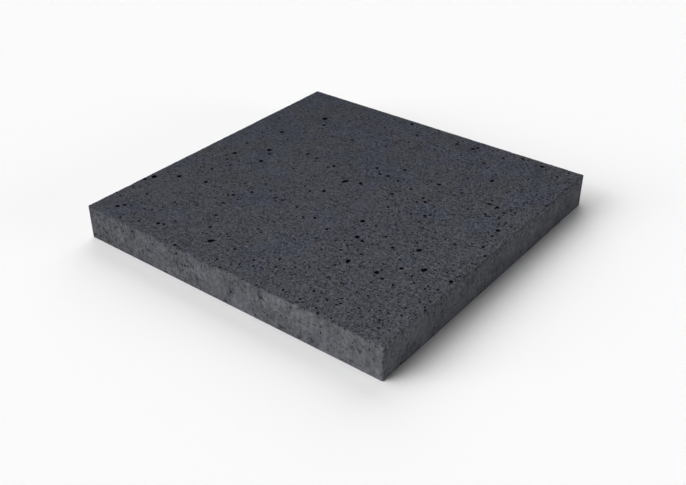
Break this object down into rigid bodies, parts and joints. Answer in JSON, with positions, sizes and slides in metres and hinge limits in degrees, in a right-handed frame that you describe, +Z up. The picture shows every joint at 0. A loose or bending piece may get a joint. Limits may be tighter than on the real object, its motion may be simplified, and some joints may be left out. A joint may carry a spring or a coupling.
{
  "type": "concrete paving slab",
  "caption": "Square cast concrete paving slab with crisp edges, upright sides and a dark wearing face open with air bubbles; laid flat to pave paths and terraces.",
  "frame": {"origin": "centre of the bedding face, on the ground", "axes": "+Z up out of the wearing face, X and Y along the slab's sides; the picture's lit side is -Y and its shaded side is +X"},
  "size_m": [0.5, 0.5, 0.05],
  "materials": {
    "concrete": "matt dark grey cast concrete, open with air bubbles"
  },
  "bodies": {
    "root": {"paving_slab": "concrete"}
  },
  "joints": []
}
